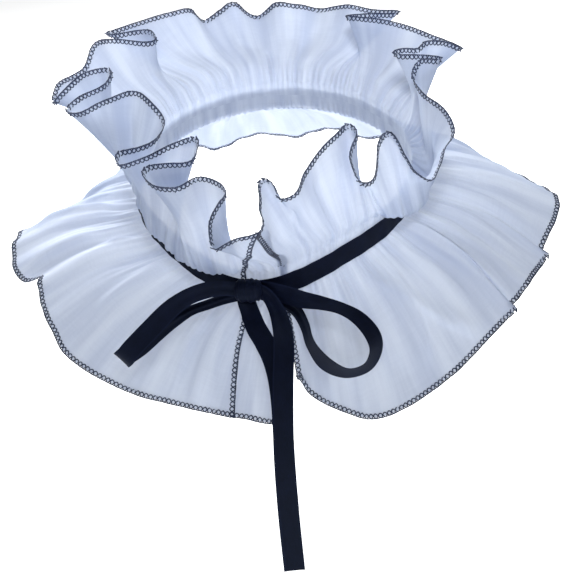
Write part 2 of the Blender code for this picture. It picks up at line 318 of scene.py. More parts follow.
RIGHT_LOOP = (
    # right, up, forward, turn, width
    (2.5, 0.4, 0.4, 0, 0.75),
    (7.2, 0.3, 0.8, 0, 0.8),
    (16.0, -1.2, 5.8, 15, 0.85),
    (25.5, -3.2, 11.5, 45, 0.9),
    (34.5, -5.0, 14.0, 68, 1),
    (44.0, -8.0, 16.5, 72, 1),
    (52.0, -13.5, 18.5, 58, 1),
    (57.5, -21.5, 21.0, 45, 1),
    (58.0, -29.0, 23.0, 45, 1),
    (53.0, -35.8, 25.0, 42, 1),
    (43.0, -37.0, 26.5, 38, 1),
    (33.5, -31.2, 26.0, 32, 1),
    (27.5, -22.5, 22.0, 52, 1),
    (25.5, -15.5, 15.0, 50, 0.9),
    (22.0, -9.8, 8.4, 20, 0.7),
    (15.0, -5.2, 4.6, 0, 0.6),
    (7.2, -2.4, 2.4, 0, 0.6),
    (2.5, -1.0, 1.4, 0, 0.6),
)
FRONT_TAIL = (
    # right, up, forward, turn, width
    (3.0, 0.6, 2.4, 0, 0.7),
    (6.8, -0.4, 3.6, 0, 0.7),
    (9.6, -2.6, 5.8, 0, 0.7),
    (11.8, -5.8, 9.0, 0, 0.75),
    (13.6, -9.8, 13.0, 0, 0.85),
    (14.8, -16.0, 18.0, 0, 0.95),
    (14.5, -23.5, 22.5, 0, 1),
    (13.0, -34.5, 27.0, 0, 1),
    (11.4, -50.0, 30.5, 0, 1),
    (9.8, -70.0, 33.0, 0, 1),
    (9.2, -88.0, 34.0, 0, 1.03),
    (8.9, -110.0, 34.2, 0, 1.05),
    (9.0, -136.8, 34.2, 0, 1.05),
)
BACK_TAIL = (
    # right, up, forward, turn, width
    (-1.5, -2.5, -0.6, 0, 0.9),
    (-1.2, -6.0, 0.6, 0, 0.9),
    (-0.5, -8.6, 2.6, 0, 0.9),
    (0.5, -11.6, 6.0, 0, 0.95),
    (2.2, -15.6, 11.0, 0, 1),
    (5.4, -21.2, 15.5, 0, 1),
    (8.6, -28.5, 20.0, 0, 1),
    (10.4, -37.5, 24.0, 0, 1),
    (10.8, -50.0, 27.2, 0, 1),
    (10.2, -64.0, 29.6, 0, 1),
    (9.5, -84.0, 31.0, 0, 1),
    (9.2, -104.0, 31.2, 0, 1),
)

# Creases laid on the lower ruffle. at_ribbon and at_edge are shares of the strip's
# length, begin and end shares of the cloth's depth; width is a share of the strip, negative
# where the steep side faces the other way; height in mm, negative for a trough
LOWER_CREASES = (
    # at_ribbon, at_edge, begin, end, width, height
    (0.018, 0.012, 0.10, 1.10, 0.006, 1.1),
    (0.030, 0.022, 0.25, 1.10, 0.005, -0.9),
    (0.058, 0.042, 0.20, 1.10, 0.005, 1.3),
    (0.064, 0.055, 0.12, 1.10, -0.007, 2.0),
    (0.078, 0.067, 0.35, 1.10, 0.006, 1.2),
    (0.084, 0.076, 0.05, 0.60, 0.006, -1.2),
    (0.082, 0.086, 0.60, 1.10, 0.007, 1.1),
    (0.104, 0.100, 0.02, 0.50, 0.007, 1.0),
    (0.118, 0.112, 0.30, 0.95, 0.009, -1.0),
    (0.150, 0.136, 0.02, 0.75, -0.010, 1.9),
    (0.166, 0.158, 0.00, 0.45, 0.007, -1.0),
    (0.195, 0.196, 0.08, 0.48, 0.006, 1.3),
    (0.212, 0.216, 0.30, 1.05, 0.009, 1.5),
    (0.236, 0.230, 0.00, 0.70, 0.008, -1.3),
    (0.252, 0.256, 0.15, 0.90, -0.008, 1.5),
    (0.276, 0.270, 0.00, 0.55, 0.007, 1.2),
    (0.294, 0.300, 0.35, 1.10, 0.009, -1.3),
    (0.312, 0.308, 0.00, 0.80, 0.008, 1.6),
    (0.334, 0.340, 0.10, 0.60, -0.006, 1.1),
    (0.352, 0.350, 0.40, 1.10, 0.010, 1.4),
    (0.370, 0.362, 0.00, 0.75, 0.007, -1.2),
    (0.392, 0.396, 0.05, 1.00, 0.009, 1.7),
    (0.414, 0.410, 0.00, 0.45, 0.006, 1.0),
    (0.432, 0.438, 0.30, 1.10, -0.009, 1.4),
    (0.452, 0.446, 0.00, 0.65, 0.007, -1.3),
    (0.474, 0.478, 0.15, 1.05, 0.010, 1.6),
    (0.496, 0.490, 0.00, 0.50, 0.006, 1.1),
    (0.516, 0.522, 0.25, 0.95, -0.008, 1.5),
    (0.538, 0.534, 0.00, 0.70, 0.008, -1.2),
    (0.556, 0.562, 0.20, 1.10, 0.009, 1.5),
    (0.580, 0.574, 0.00, 0.55, 0.007, 1.2),
    (0.598, 0.602, 0.35, 1.10, 0.010, -1.3),
    (0.618, 0.612, 0.00, 0.80, -0.008, 1.6),
    (0.640, 0.646, 0.10, 0.60, 0.006, 1.0),
    (0.660, 0.656, 0.40, 1.10, 0.009, 1.4),
    (0.682, 0.688, 0.00, 0.70, 0.007, -1.1),
    (0.704, 0.700, 0.20, 0.95, 0.009, 1.3),
    (0.724, 0.730, 0.00, 0.45, -0.007, 1.1),
    (0.744, 0.740, 0.30, 1.10, 0.010, -1.2),
    (0.762, 0.766, 0.05, 0.85, 0.008, 1.2),
    (0.790, 0.786, 0.10, 0.60, 0.007, 1.0),
    (0.806, 0.812, 0.30, 1.10, 0.011, -1.5),
    (0.838, 0.830, 0.00, 1.10, -0.008, 2.3),
    (0.852, 0.848, 0.05, 0.70, 0.008, -1.2),
    (0.866, 0.858, 0.20, 0.80, 0.006, 1.0),
    (0.884, 0.872, 0.62, 1.10, -0.006, 1.5),
    (0.888, 0.908, 0.15, 0.95, 0.006, 1.7),
    (0.902, 0.898, 0.05, 0.35, 0.005, 1.1),
    (0.920, 0.868, 0.02, 1.05, -0.006, 1.8),
    (0.930, 0.926, 0.45, 1.10, 0.009, -1.5),
    (0.937, 0.946, 0.00, 0.38, 0.005, 1.4),
    (0.946, 0.948, 0.00, 0.60, 0.004, -0.9),
    (0.956, 0.958, 0.00, 0.30, 0.004, 1.2),
    (0.966, 0.962, 0.20, 0.85, 0.006, 1.0),
    (0.980, 0.976, 0.05, 0.90, 0.006, -1.0),
)
UPPER_CREASES = (
    # at_ribbon, at_edge, begin, end, width, height
    (0.022, 0.030, 0.05, 0.60, 0.004, 0.9),
    (0.052, 0.048, 0.00, 0.55, 0.004, -0.8),
    (0.070, 0.078, 0.05, 0.80, 0.005, 0.9),
    (0.094, 0.090, 0.02, 0.50, 0.005, 1.0),
    (0.118, 0.124, 0.02, 0.65, 0.005, -0.8),
    (0.142, 0.138, 0.00, 0.50, 0.004, 0.9),
    (0.166, 0.170, 0.05, 0.70, 0.005, 0.8),
    (0.194, 0.190, 0.00, 0.55, 0.005, -0.9),
    (0.220, 0.226, 0.10, 0.85, 0.006, 1.0),
    (0.246, 0.240, 0.00, 0.60, 0.005, 0.9),
    (0.272, 0.278, 0.05, 0.75, 0.005, -0.8),
    (0.300, 0.296, 0.00, 0.55, 0.005, 1.0),
    (0.326, 0.330, 0.10, 0.80, 0.006, 0.9),
    (0.356, 0.350, 0.00, 0.60, 0.005, -0.9),
    (0.384, 0.388, 0.05, 0.70, 0.005, 0.9),
    (0.412, 0.408, 0.00, 0.50, 0.004, 0.8),
    (0.436, 0.442, 0.10, 0.85, 0.007, 1.1),
    (0.462, 0.458, 0.00, 0.60, 0.005, -0.9),
    (0.488, 0.494, 0.05, 0.80, 0.006, 1.0),
    (0.514, 0.510, 0.00, 0.55, 0.005, 0.9),
    (0.540, 0.546, 0.10, 0.85, 0.007, -1.0),
    (0.566, 0.560, 0.00, 0.60, 0.005, 1.0),
    (0.592, 0.598, 0.05, 0.75, 0.006, 0.9),
    (0.618, 0.612, 0.00, 0.50, 0.005, -0.8),
    (0.644, 0.650, 0.10, 0.80, 0.006, 1.0),
    (0.670, 0.666, 0.00, 0.60, 0.005, 0.9),
    (0.698, 0.702, 0.05, 0.70, 0.005, -0.8),
    (0.726, 0.720, 0.00, 0.60, 0.005, 0.9),
    (0.754, 0.760, 0.10, 0.80, 0.006, 0.8),
    (0.780, 0.776, 0.00, 0.55, 0.005, -0.9),
    (0.806, 0.812, 0.05, 0.70, 0.005, 0.9),
    (0.832, 0.828, 0.00, 0.50, 0.004, 0.8),
    (0.858, 0.850, 0.05, 0.70, -0.005, 1.1),
    (0.885, 0.885, 0.00, 0.85, -0.005, 1.4),
    (0.904, 0.900, 0.00, 0.45, 0.004, -0.8),
    (0.926, 0.922, 0.05, 0.75, 0.005, 1.3),
    (0.941, 0.940, 0.00, 0.95, -0.005, 1.5),
    (0.956, 0.950, 0.00, 0.40, 0.004, -0.9),
    (0.978, 0.958, 0.00, 0.95, -0.005, 1.5),
)

# Fine gathers that the ribbon draws in, on top of the solid's own
FINE_GATHERS = 142
FINE_GATHER_HEIGHT = 0.7 * MM
FINE_GATHER_REACH = 0.32  # share of the cloth's depth
FINE_GATHER_FADE = 1.3
EDGE_RIPPLES = 61
EDGE_RIPPLE_HEIGHT = 0.35 * MM
CREASE_STRENGTH = 1.5
EDGE_ZONE = 0.28  # share of the depth, by the free edge, where creases fade and ripples grow
EDGE_FADES = 0.85  # share of a crease that is gone at the free edge, whose waves are traced
STEEP_SIDE = 0.45
SOFT_SIDE = 1.6
CREASE_BEGIN = 0.18
CREASE_END = 0.22

# How the waves wander, so that no two are alike: turns off the even place, waves, start
GATHER_WANDER = ((1.7, 3, 0.4), (1.1, 7, 2.0))
FINE_WANDER = ((2.6, 5, 1.0), (1.9, 13, 0.3))
RIPPLE_WANDER = ((2.2, 4, 0.0), (1.4, 11, 0.7))

# Overlock seam
STITCH_LENGTH = 2.3 * MM
SEAM_WIDTH = 2.3 * MM
EDGE_OVERHANG = 0.45 * MM
THREAD_HALF = 0.38 * MM
THREAD_FLATNESS = 0.7
THREAD_LIFT = 0.07 * MM
STITCH_UNEVENNESS = 0.07
THREAD_SEED = 7

# The turned-back end's own seam, as shares of the strip, from the ribbon to the free edge
INNER_SEAM_UPPER = ((0.0, 0.048), (0.35, 0.030), (0.6, 0.016), (1.0, 0.004))
INNER_SEAM_LOWER = ((0.0, 0.045), (0.2, 0.040), (0.6, 0.0345), (1.0, 0.030))

# How the ribbon lies: lengths in mm, waves to the turn round the neck
TURN_SPREAD = 20  # sections of a ribbon over which its turning is evened out
RIBBON_START = 1.5  # degrees from the knot's middle, under the knot
RIBBON_CUP = 0.25
RIBBON_LIFT = (0.22, 31)
RIBBON_LIFT_SMALL = (0.12, 57)
RIBBON_WANDER = (0.25, 13)
BAND_CUP = 0.18
BAND_FOLD = 1.1  # depth of the lengthwise folds where the width is drawn in to nothing
BAND_FOLDS = 2
KNOT_CLOTH = 34 * MM  # once round the knot
KNOT_PLEATS = (0.045, 9.5)  # depth as a share of the knot's half size, turn along it
KNOT_PLEATS_SMALL = (0.03, 21)
KNOT_LAP = 0.05
KNOT_BODY = 0.93
KNOT_ROUNDNESS = 0.8
KNOT_END = 0.02

# Materials
WEAVE_PITCH = 0.32 * MM
# The organza's two tones are a lit and a shaded copy of the cloth's colour: painted fold shade
ORGANZA_LIGHT = (0.62, 0.69, 0.83)
ORGANZA_PAINTED_SHADE = (0.43, 0.50, 0.67)
ORGANZA_COVER = 0.92
ORGANZA_THROUGH = 0.26
SATIN_DARK = (0.0010, 0.0016, 0.008)
SATIN_LIGHT = (0.003, 0.005, 0.020)
SATIN_EDGE = (0.008, 0.012, 0.036)
THREAD_DARK = (0.014, 0.022, 0.055)
THREAD_LIGHT = (0.050, 0.070, 0.140)

# Studio
FLOOR_HEIGHT = -0.30
FLOOR_HALF = 6
FLOOR_GLOW = 0.85
SKY = (0.94, 0.97, 1.0)
SKY_STRENGTH = 0.08
WHITE = (1.0, 1.0, 1.0)
LIGHTS = (
    # name, place, aim, size, watts, colour, spread in degrees
    ("above_behind", (-0.6, 1.4, 1.15), (0, 0, 0), 1.1, 51.0, (0.96, 0.98, 1.0), 180),
    ("above_front", (-0.9, -1.3, 1.4), (0, 0, -0.03), 1.0, 0.4, WHITE, 180),
    ("inside_back", (0.05, -0.42, 0.45), (0.0, 0.09, 0.05), 0.2, 0.22, WHITE, 45),
    ("side", (1.6, -0.4, 0.5), (0, 0, 0), 0.9, 1.4, WHITE, 180),
)
CAMERA_ELEVATION = 20.15
CAMERA_ROLL = 5.6
CAMERA_DISTANCE = 0.8113
CAMERA_AIM_HEIGHT = -0.0631
CAMERA_LENS = 95.84


def smooth_step(x):
    x = np.clip(x, 0.0, 1.0)
    return x * x * (3 - 2 * x)


def outward(bearing):
    """Level direction away from the neck."""
    turn = radians(bearing)
    return np.array([-sin(turn), -cos(turn), 0.0])


def neckline(bearing):
    """Point of the gathering line: a tilted oval, pulled down under the bow."""
    turn = radians(bearing)
    x = -NECK_HALF_WIDTH * sin(turn)
    y = -NECK_HALF_DEPTH * cos(turn)
    off_bow = (bearing - BOW_BEARING + 180) % 360 - 180
    dip = BOW_DIP * exp(-((off_bow / BOW_DIP_SPREAD) ** 2))
    return np.array([x, y, y * tan(radians(NECK_TILT)) - dip])


def gathered_at(bearing):
    """Where a column of cloth meets the ribbon: the right end is laid over the left one."""
    lap = float(smooth_step((bearing - LAP_FROM) / (STRIP_END - LAP_FROM)))
    return neckline(bearing + LAP * lap) + outward(bearing) * LAP_OUT * lap


def curve_weights(stations, steps):
    """Catmull-Rom weights, so that many curves through as many stations are one product."""
    weights = np.zeros((steps + 1, stations))
    for row, place in enumerate(np.linspace(0, stations - 1, steps + 1)):
        k = min(int(place), stations - 2)
        t = place - k
        shares = (
            (k - 1, -0.5 * t + t * t - 0.5 * t**3),
            (k, 1 - 2.5 * t * t + 1.5 * t**3),
            (k + 1, 0.5 * t + 2 * t * t - 1.5 * t**3),
            (k + 2, -0.5 * t * t + 0.5 * t**3),
        )
        for station, share in shares:
            if station < 0:
                weights[row, 0] += 2 * share
                weights[row, 1] -= share
            elif station >= stations:
                weights[row, -1] += 2 * share
                weights[row, -2] -= share
            else:
                weights[row, station] += share
    return weights


def lengths_along(points):
    steps = np.linalg.norm(np.diff(points, axis=0), axis=1)
    return np.concatenate([[0.0], np.cumsum(steps)])


def at_lengths(curve, length, at):
    """A curve, whose lengths from its start are given, read at other lengths."""
    return np.stack([np.interp(at, length, column) for column in curve.T], axis=1)


def at_even_length(fine, shares):
    """Points of a fine curve at shares of its length."""
    length = lengths_along(fine[:, :3])
    return at_lengths(fine, length, np.asarray(shares) * length[-1])


def smooth_curve(points, count):
    """Catmull-Rom curve through the points, as count points at even steps of length."""
    points = np.array(points, dtype=float)
    fine = curve_weights(len(points), 14 * (len(points) - 1)) @ points
    return at_even_length(fine, np.linspace(0, 1, count))


def even_bearings(columns):
    """Bearings of the columns, at even steps along the gathering line."""
    fine = np.linspace(STRIP_START, STRIP_END, 1441)
    length = lengths_along(np.array([neckline(b) for b in fine]))
    return np.interp(np.linspace(0.0, length[-1], columns + 1), length, fine)


def edge_from_folds(folds, columns, sign):
    rows = []
    for bearing, out, rise in folds:
        rows.append(neckline(bearing) + outward(bearing) * out * MM + UP * sign * rise * MM)
    return smooth_curve(rows, columns + 1)


def table_at(table, bearing):
    bearings = [row[0] for row in table]
    return [np.interp(bearing, bearings, [row[k] for row in table]) for k in range(1, len(table[0]))]


def evened(edge):
    """The edge as the middle of the cloth follows it, its tight folds spread out."""
    spread = round(FOLD_SPREAD * (len(edge) - 1))
    padded = np.pad(edge, ((spread, spread), (0, 0)), mode="edge")
    window = np.hanning(2 * spread + 3)[1:-1]
    window /= window.sum()
    smooth = np.stack([np.convolve(column, window, "valid") for column in padded.T], axis=1)
    return FOLDS_AT_MIDDLE * edge + (1 - FOLDS_AT_MIDDLE) * smooth


def section(start, stations, steps):
    """A section of cloth: pressed flat at the ribbon, then a curve out to the free edge."""
    fine = curve_weights(len(stations), 60) @ np.array(stations)
    shares = np.linspace(0, 1, steps)
    pressed = [start + (stations[0] - start) * k / PRESSED_ROWS for k in range(PRESSED_ROWS)]
    return np.vstack([*pressed, at_even_length(fine, shares)])


def upper_section(bearing, top, soft_top):
    base = gathered_at(bearing)
    away = outward(bearing)
    leaves = base + UP * RUFFLE_LEAVES
    puff_out, puff_up = table_at(PUFFS, bearing)
    puff = base + away * puff_out * MM + UP * puff_up * MM + PUFF_LEAN * (soft_top - leaves)
    middle = leaves + UPPER_SPRING_SHARE * (soft_top - leaves)
    middle = middle + away * UPPER_SPRING_OUT - UP * UPPER_SPRING_DOWN
    return section(base, [leaves, puff, middle, top], UPPER_STEPS)


def lower_section(bearing, hem):
    base = gathered_at(bearing)
    away = outward(bearing)
    leaves = base - UP * RUFFLE_LEAVES
    middle = leaves + LOWER_SPRING_SHARE * (hem - leaves)
    middle = middle + away * LOWER_SPRING_OUT + UP * LOWER_SPRING_UP
    return section(base, [leaves, middle, hem], LOWER_STEPS)


def sheet_normals(grid):
    """Unit normals of a grid of points, columns first."""
    normal = np.cross(np.gradient(grid, axis=0), np.gradient(grid, axis=1))
    return normal / np.maximum(np.linalg.norm(normal, axis=2, keepdims=True), 1e-12)


def uneven_phase(turn, count, wander):
    """The phase of count waves to the turn, which come sooner or later than even ones."""
    return count * turn + sum(most * np.sin(waves * turn + start) for most, waves, start in wander)


def gathers(bearings, shares, count, height):
    """The solid's own gathers: soft uneven ridges from the ribbon towards the free edge."""
    turn = np.radians(bearings)
    phase = uneven_phase(turn, count, GATHER_WANDER)
    wave = np.sin(phase) * (0.75 + 0.25 * np.sin(5 * turn + 1.0))
    fade = np.clip(shares / GATHER_RISE, 0, 1) * (1.0 - GATHER_FADE * shares)
    return wave[:, None] * fade[None, :] * height


def by_the_edge(shares):
    return smooth_step((shares - (1 - EDGE_ZONE)) / EDGE_ZONE)


def creases(places, shares, table):
    """Height of the listed creases over a sheet: soft on one side, steeper on the other."""
    height = np.zeros((len(places), len(shares)))
    for at_ribbon, at_edge, begin, end, width, rise in table:
        middle = at_ribbon + (at_edge - at_ribbon) * shares
        off = (places[:, None] - middle[None, :]) / width
        profile = np.where(off < 0, np.exp(-((off / STEEP_SIDE) ** 2)), np.exp(-(off**2) / SOFT_SIDE))
        along = smooth_step((shares - begin) / CREASE_BEGIN)
        along = along * (1 - smooth_step((shares - end + CREASE_END) / CREASE_END))
        height += profile * along[None, :] * rise * MM
    kept = 1 - EDGE_FADES * by_the_edge(shares)
    return height * kept[None, :] * CREASE_STRENGTH


def fine_gathers(places, shares):
    """The close gathers that the ribbon draws in, gone before the middle of the cloth."""
    turn = 2 * pi * places
    phase = uneven_phase(turn, FINE_GATHERS, FINE_WANDER)
    strength = 0.65 + 0.35 * np.sin(9 * turn + 2.0) * np.sin(23 * turn)
    fade = np.exp(-((np.maximum(shares, 0) / FINE_GATHER_REACH) ** FINE_GATHER_FADE))
    return (np.sin(phase) * strength)[:, None] * fade[None, :] * FINE_GATHER_HEIGHT


def edge_ripples(places, shares):
    """The slight ripple that the overlock seam gives the free edge."""
    turn = 2 * pi * places
    phase = uneven_phase(turn, EDGE_RIPPLES, RIPPLE_WANDER)
    return np.sin(phase)[:, None] * by_the_edge(shares)[None, :] * EDGE_RIPPLE_HEIGHT


def cloth_grid(bearings, sections, steps, count, gather_height, table):
    """The sheet on its solid's form, with gathers, creases and a rippled edge."""
    grid = np.array(sections)
    places = np.linspace(0, 1, len(bearings))
    shares = np.concatenate([np.linspace(*PRESSED_SHARES, PRESSED_ROWS), np.linspace(0, 1, steps)])
    height = gathers(np.array(bearings), shares, count, gather_height)
    height += creases(places, shares, table)
    height += fine_gathers(places, shares) + edge_ripples(places, shares)
    free = smooth_step((shares - FREE_FROM) / FREE_OVER)
    return grid + sheet_normals(grid) * (height * free[None, :])[:, :, None], shares


def upper_cloth():
    bearings = even_bearings(UPPER_COLUMNS)
    edge = edge_from_folds(TOP_FOLDS, UPPER_COLUMNS, 1)
    sections = [upper_section(b, top, soft) for b, top, soft in zip(bearings, edge, evened(edge))]
    return cloth_grid(
        bearings, sections, UPPER_STEPS, UPPER_GATHERS, UPPER_GATHER_HEIGHT, UPPER_CREASES
    )


def lower_cloth():
    bearings = even_bearings(LOWER_COLUMNS)
    edge = edge_from_folds(HEM_FOLDS, LOWER_COLUMNS, -1)
    sections = [lower_section(b, hem) for b, hem in zip(bearings, edge)]
    return cloth_grid(
        bearings, sections, LOWER_STEPS, LOWER_GATHERS, LOWER_GATHER_HEIGHT, LOWER_CREASES
    )


def sheet_object(name, grid, look):
    """A smooth sheet from a grid of points, with its own cloth lengths in metres as UV."""
    columns, rows = grid.shape[:2]
    mesh = bpy.data.meshes.new(name)
    index = np.arange(columns * rows).reshape(columns, rows)
    quads = np.stack([index[:-1, :-1], index[1:, :-1], index[1:, 1:], index[:-1, 1:]], axis=2)
    quads = quads.reshape(-1, 4)
    mesh.from_pydata(grid.reshape(-1, 3).tolist(), [], quads.tolist())
    along = lengths_along(grid[:, -1])
    across = np.cumsum(
        np.concatenate([np.zeros((columns, 1)), np.linalg.norm(np.diff(grid, axis=1), axis=2)], axis=1),
        axis=1,
    )
    place = np.stack([np.repeat(along[:, None], rows, axis=1), across], axis=2).reshape(-1, 2)
    layer = mesh.uv_layers.new(name="cloth")
    layer.data.foreach_set("uv", place[quads.ravel()].ravel())
    mesh.materials.append(look)
    mesh.shade_smooth()
    made = bpy.data.objects.new(name, mesh)
    bpy.context.collection.objects.link(made)
    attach(made, "root")
    return made


def frames_along(path, inward, spacing):
    """Places, a stitch apart, along a path, with the turn that lays a stitch there."""
    length = lengths_along(path)
    count = max(2, int(length[-1] / spacing))
    at = (np.arange(count) + 0.5) * length[-1] / count
    point = at_lengths(path, length, at)
    inner = at_lengths(inward, length, at)
    step = length[-1] / count / 2
    ahead = at_lengths(path, length, at + step) - at_lengths(path, length, at - step)
    turns = []
    for forward, side in zip(ahead, inner):
        x = Vector(forward).normalized()
        z = x.cross(Vector(side)).normalized()
        y = z.cross(x)
        turns.append(Matrix((x, y, z)).transposed().to_euler())
    return point, turns


def stitch_mesh():
    """One link of the overlock chain: two threads that cross and turn back at the rails, and
    the needle thread along the edge. Its length runs along X, the cloth lies towards +Y."""
    half, middle = SEAM_WIDTH / 2, SEAM_WIDTH / 2 - EDGE_OVERHANG
    runs = []
    for side, over in ((1, 1), (-1, -1)):
        run = []
        for k in range(5):
            share = k / 4
            swing = side * half * cos(pi * share)
            lift = THREAD_LIFT * over * sin(pi * share)
            run.append((share * STITCH_LENGTH, middle - swing, lift))
        runs.append(run)
    runs.append([(0.0, -EDGE_OVERHANG, 0.0), (STITCH_LENGTH, -EDGE_OVERHANG, 0.0)])
    verts, faces = [], []
    for run in runs:
        points = [Vector(p) for p in run]
        rings = []
        for k, point in enumerate(points):
            ahead = points[min(k + 1, len(points) - 1)] - points[max(k - 1, 0)]
            side = ahead.cross(Vector((0, 0, 1))).normalized()
            over = side.cross(ahead).normalized()
            rings.append([len(verts) + n for n in range(4)])
            for n in range(4):
                a = pi * n / 2 + pi / 4
                verts.append(point + (side * cos(a) + over * sin(a) * THREAD_FLATNESS) * THREAD_HALF)
        for one, two in zip(rings[:-1], rings[1:]):
            for n in range(4):
                faces.append((one[n], one[(n + 1) % 4], two[(n + 1) % 4], two[n]))
        faces.append(tuple(reversed(rings[0])))
        faces.append(tuple(rings[-1]))
    mesh = bpy.data.meshes.new("overlock_stitch")
    mesh.from_pydata([tuple(v) for v in verts], [], faces)
    return mesh


def stitch_tree():
    """Geometry nodes that lay a stitch on each point, turned by its attribute."""
    tree = bpy.data.node_groups.new("overlock_seam", "GeometryNodeTree")
    face = tree.interface
    face.new_socket("Geometry", in_out="OUTPUT", socket_type="NodeSocketGeometry")
    sockets = {}
    for title, kind in (
        ("Geometry", "NodeSocketGeometry"),
        ("Stitch", "NodeSocketObject"),
        ("Thread", "NodeSocketMaterial"),
        ("Unevenness", "NodeSocketFloat"),
        ("Seed", "NodeSocketInt"),
    ):
        sockets[title] = face.new_socket(title, in_out="INPUT", socket_type=kind).identifier
    nodes, links = tree.nodes, tree.links
    given = nodes.new("NodeGroupInput")
    result = nodes.new("NodeGroupOutput")
    turn = nodes.new("GeometryNodeInputNamedAttribute")
    turn.data_type = "FLOAT_VECTOR"
    turn.inputs["Name"].default_value = "turn"
    stitch = nodes.new("GeometryNodeObjectInfo")
    lay = nodes.new("GeometryNodeInstanceOnPoints")
    vary = nodes.new("FunctionNodeRandomValue")
    vary.data_type = "FLOAT"
    least = nodes.new("ShaderNodeMath")
    least.operation = "SUBTRACT"
    least.inputs[0].default_value = 1.0
    most = nodes.new("ShaderNodeMath")
    most.operation = "ADD"
    most.inputs[0].default_value = 1.0
    real = nodes.new("GeometryNodeRealizeInstances")
    colour = nodes.new("GeometryNodeSetMaterial")
    euler = nodes.new("FunctionNodeEulerToRotation")
    links.new(given.outputs["Stitch"], stitch.inputs["Object"])
    links.new(given.outputs["Geometry"], lay.inputs["Points"])
    links.new(stitch.outputs["Geometry"], lay.inputs["Instance"])
    links.new(turn.outputs["Attribute"], euler.inputs[0])
    links.new(euler.outputs[0], lay.inputs["Rotation"])
    links.new(given.outputs["Unevenness"], least.inputs[1])
    links.new(given.outputs["Unevenness"], most.inputs[1])
    links.new(least.outputs[0], vary.inputs[2])
    links.new(most.outputs[0], vary.inputs[3])
    links.new(given.outputs["Seed"], vary.inputs["Seed"])
    links.new(vary.outputs[1], lay.inputs["Scale"])
    links.new(lay.outputs["Instances"], real.inputs["Geometry"])
    links.new(real.outputs["Geometry"], colour.inputs["Geometry"])
    links.new(given.outputs["Thread"], colour.inputs["Material"])
    links.new(colour.outputs["Geometry"], result.inputs["Geometry"])
    return tree, sockets


def seam_object(name, paths, stitch, tree, sockets, look, seed):
    """Overlock stitches along the paths, as one plain mesh."""
    points, turns = [], []
    for path, inward in paths:
        p, t = frames_along(path, inward, STITCH_LENGTH)
        points.extend(p.tolist())
        turns.extend(t)
    cloud = bpy.data.meshes.new(name + "_places")
    cloud.from_pydata(points, [], [])
    turn = cloud.attributes.new("turn", "FLOAT_VECTOR", "POINT")
    turn.data.foreach_set("vector", np.array([tuple(t) for t in turns]).ravel())
    places = bpy.data.objects.new(name + "_places", cloud)
    bpy.context.collection.objects.link(places)
    nodes = places.modifiers.new("overlock", "NODES")
    nodes.node_group = tree
    nodes[sockets["Stitch"]] = stitch
    nodes[sockets["Thread"]] = look
    nodes[sockets["Unevenness"]] = STITCH_UNEVENNESS
    nodes[sockets["Seed"]] = seed
    view = bpy.context.evaluated_depsgraph_get()
    mesh = bpy.data.meshes.new_from_object(places.evaluated_get(view))
    mesh.name = name
    bpy.data.objects.remove(places, do_unlink=True)
    made = bpy.data.objects.new(name, mesh)
    bpy.context.collection.objects.link(made)
    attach(made, "root")
    return made


def seam_on_sheet(grid, shares, stations):
    """A line over the sheet by its stations, with the direction back across the strip."""
    columns = grid.shape[0] - 1
    path, inward = [], []
    for j in range(len(shares)):
        place = np.interp(shares[j], [s[0] for s in stations], [s[1] for s in stations]) * columns
        i = int(place)
        part = place - i
        path.append(grid[i, j] * (1 - part) + grid[i + 1, j] * part)
        inward.append(grid[i + 2, j] - grid[i, j])
    return np.array(path), np.array(inward)


class Flow:
    """A shader socket that takes part in sums as a number does."""

    def __init__(self, tree, socket):
        self.tree = tree
        self.socket = socket

    def math(self, operation, *values, clamp=False):
        node = self.tree.nodes.new("ShaderNodeMath")
        node.operation = operation
        node.use_clamp = clamp
        for place, value in enumerate(values):
            feed(self.tree, node.inputs[place], value)
        return Flow(self.tree, node.outputs[0])

    def __add__(self, other):
        return self.math("ADD", self, other)

    __radd__ = __add__

    def __sub__(self, other):
        return self.math("SUBTRACT", self, other)

    def __rsub__(self, other):
        return self.math("SUBTRACT", other, self)

    def __mul__(self, other):
        return self.math("MULTIPLY", self, other)

    __rmul__ = __mul__

    def wave(self):
        return self.math("SINE", self)

    def size(self):
        return self.math("ABSOLUTE", self)

    def kept(self):
        return self.math("ADD", self, 0.0, clamp=True)

    def between(self, low, high):
        """0 below low, 1 above high, smooth between."""
        node = self.tree.nodes.new("ShaderNodeMapRange")
        node.interpolation_type = "SMOOTHSTEP"
        feed(self.tree, node.inputs["Value"], self)
        node.inputs["From Min"].default_value = low
        node.inputs["From Max"].default_value = high
        return Flow(self.tree, node.outputs["Result"])


def feed(tree, socket, value):
    """A link where value is a socket, a plain value where it isn't."""
    if isinstance(value, Flow):
        tree.links.new(value.socket, socket)
    else:
        socket.default_value = value


